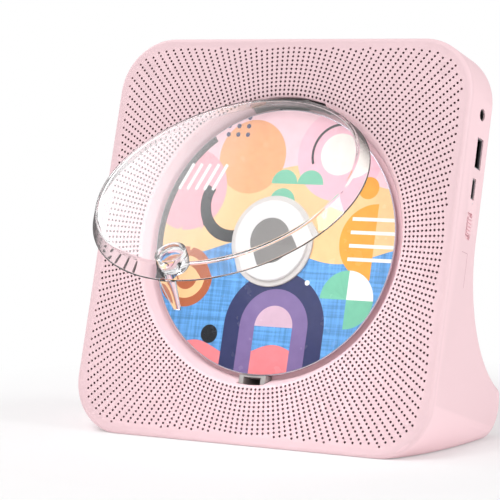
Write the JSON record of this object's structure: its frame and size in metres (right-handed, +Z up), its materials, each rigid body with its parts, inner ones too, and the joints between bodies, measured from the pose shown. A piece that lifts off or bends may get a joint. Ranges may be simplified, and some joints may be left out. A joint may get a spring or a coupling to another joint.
{
  "type": "compact disc player",
  "caption": "Disc player with a perforated speaker face on a flared foot, a round disc well under a clear hinged dust cover, and sockets and a slide switch on one side.",
  "frame": {"origin": "on the underside of the base pad, on the centre plane, below the body", "axes": "+Z up, +X towards the side with the sockets, -Y out of the disc face"},
  "size_m": [0.1791, 0.1431, 0.1769],
  "materials": {
    "pink_shell": "light pink moulded plastic, fine matte",
    "pink_deck": "light pink moulded plastic, smooth",
    "speaker_cloth": "dark woven acoustic cloth",
    "grey_rubber": "soft grey rubber",
    "steel": "plain bright steel",
    "clear_plastic": "clear polished plastic",
    "grey_plastic": "mid grey moulded plastic",
    "dark_plastic": "black moulded plastic",
    "printed_disc": "gloss label side with a printed abstract pattern",
    "white_plastic": "white satin plastic",
    "satin_aluminium": "satin aluminium, spun",
    "magnet_steel": "dark plated steel",
    "motor_can": "zinc-plated sheet",
    "chassis_plastic": "dark grey moulded plastic",
    "lens_glass": "coated lens",
    "circuit_board": "green solder mask",
    "chip_plastic": "black moulded epoxy",
    "clear_lamp": "frosted clear plastic",
    "foam": "black foam",
    "paper_cone": "dark pressed paper"
  },
  "bodies": {
    "root": {"front_cover": "pink_shell", "rear_cover": "pink_shell", "grille_cloth": "speaker_cloth", "base_pad": "grey_rubber", "cover_screws": "steel", "hinge_pin": "steel", "hinge_bracket": "grey_plastic", "lid_catch": "grey_plastic", "deck": "pink_deck", "deck_screws": "steel", "spindle_motor": "motor_can", "chassis": "chassis_plastic", "dampers": "grey_rubber", "damper_screws": "steel", "guide_rails": "steel", "gear_post": "steel", "sled_motor": "motor_can", "speaker_screws": "steel", "main_board": "circuit_board", "board_screws": "steel", "board_parts": "chip_plastic", "usb_a_port": "steel", "usb_c_port": "steel", "headphone_jack": "dark_plastic", "status_light": "clear_lamp", "switch_body": "dark_plastic", "button_board": "circuit_board", "tact_switches": "chip_plastic", "left_speaker_gasket": "foam", "left_speaker_basket": "motor_can", "left_speaker_cone": "paper_cone", "left_speaker_magnet": "magnet_steel", "right_speaker_gasket": "foam", "right_speaker_basket": "motor_can", "right_speaker_cone": "paper_cone", "right_speaker_magnet": "magnet_steel"},
    "lid": {"dust_cover": "clear_plastic", "lid_knob": "clear_plastic"},
    "spindle": {"disc": "printed_disc", "turntable": "dark_plastic", "clamp_puck": "white_plastic", "puck_ring": "white_plastic", "puck_cap": "satin_aluminium", "puck_magnet": "magnet_steel", "spindle_shaft": "steel"},
    "carriage": {"sled": "dark_plastic"},
    "lens_unit": {"lens_holder": "dark_plastic", "objective_lens": "lens_glass"},
    "feed_wheel": {"feed_gear": "white_plastic"},
    "motor_wheel": {"motor_pinion": "white_plastic"},
    "thumb_slide": {"switch_knob": "pink_shell"},
    "power_key": {"power_button": "pink_shell"},
    "mode_key": {"mode_button": "pink_shell"},
    "previous_key": {"previous_button": "pink_shell"},
    "play_key": {"play_button": "pink_shell"},
    "next_key": {"next_button": "pink_shell"},
    "volume_key": {"volume_button": "pink_shell"}
  },
  "joints": [
    {"name": "lid_hinge", "type": "hinge", "parent": "root", "child": "lid", "pos_m": [0, -0.00052, 0.14873], "axis": [-1, 0, 0], "range_deg": [-39.7, 35]},
    {"name": "disc_spin", "type": "hinge", "parent": "root", "child": "spindle", "pos_m": [0, -0.0197, 0.08829], "axis": [0, -0.9596, 0.2813], "continuous": true},
    {"name": "sled_slide", "type": "slide", "parent": "root", "child": "carriage", "axis": [0, 0.2813, 0.9596], "range_m": [0, 0.032]},
    {"name": "feed_gear_spin", "type": "hinge", "parent": "root", "child": "feed_wheel", "pos_m": [0.0214, -0.01168, 0.11564], "axis": [0, -0.9596, 0.2813], "range_deg": [-380, 5]},
    {"name": "motor_pinion_spin", "type": "hinge", "parent": "root", "child": "motor_wheel", "pos_m": [0.0334, -0.01168, 0.11564], "axis": [0, -0.9596, 0.2813], "range_deg": [-20, 1520]},
    {"name": "lens_focus", "type": "slide", "parent": "carriage", "child": "lens_unit", "axis": [0, -0.9596, 0.2813], "range_m": [-0.0004, 0.0004], "stiffness_N_per_m": 40},
    {"name": "thumb_slide_travel", "type": "slide", "parent": "root", "child": "thumb_slide", "axis": [0, 0.2813, 0.9596], "range_m": [-0.0017, 0.0017]},
    {"name": "power_press", "type": "slide", "parent": "root", "child": "power_key", "axis": [0, -0.2813, -0.9596], "range_m": [0, 0.0007], "stiffness_N_per_m": 400},
    {"name": "mode_press", "type": "slide", "parent": "root", "child": "mode_key", "axis": [0, -0.2813, -0.9596], "range_m": [0, 0.0007], "stiffness_N_per_m": 400},
    {"name": "previous_press", "type": "slide", "parent": "root", "child": "previous_key", "axis": [0, -0.2813, -0.9596], "range_m": [0, 0.0007], "stiffness_N_per_m": 400},
    {"name": "play_press", "type": "slide", "parent": "root", "child": "play_key", "axis": [0, -0.2813, -0.9596], "range_m": [0, 0.0007], "stiffness_N_per_m": 400},
    {"name": "next_press", "type": "slide", "parent": "root", "child": "next_key", "axis": [0, -0.2813, -0.9596], "range_m": [0, 0.0007], "stiffness_N_per_m": 400},
    {"name": "volume_press", "type": "slide", "parent": "root", "child": "volume_key", "axis": [0, -0.2813, -0.9596], "range_m": [0, 0.0007], "stiffness_N_per_m": 400}
  ],
  "couplings": [
    {"joint": "feed_gear_spin", "follows": "sled_slide", "rad_per_m": -204.08},
    {"joint": "motor_pinion_spin", "follows": "sled_slide", "rad_per_m": 816.33}
  ]
}
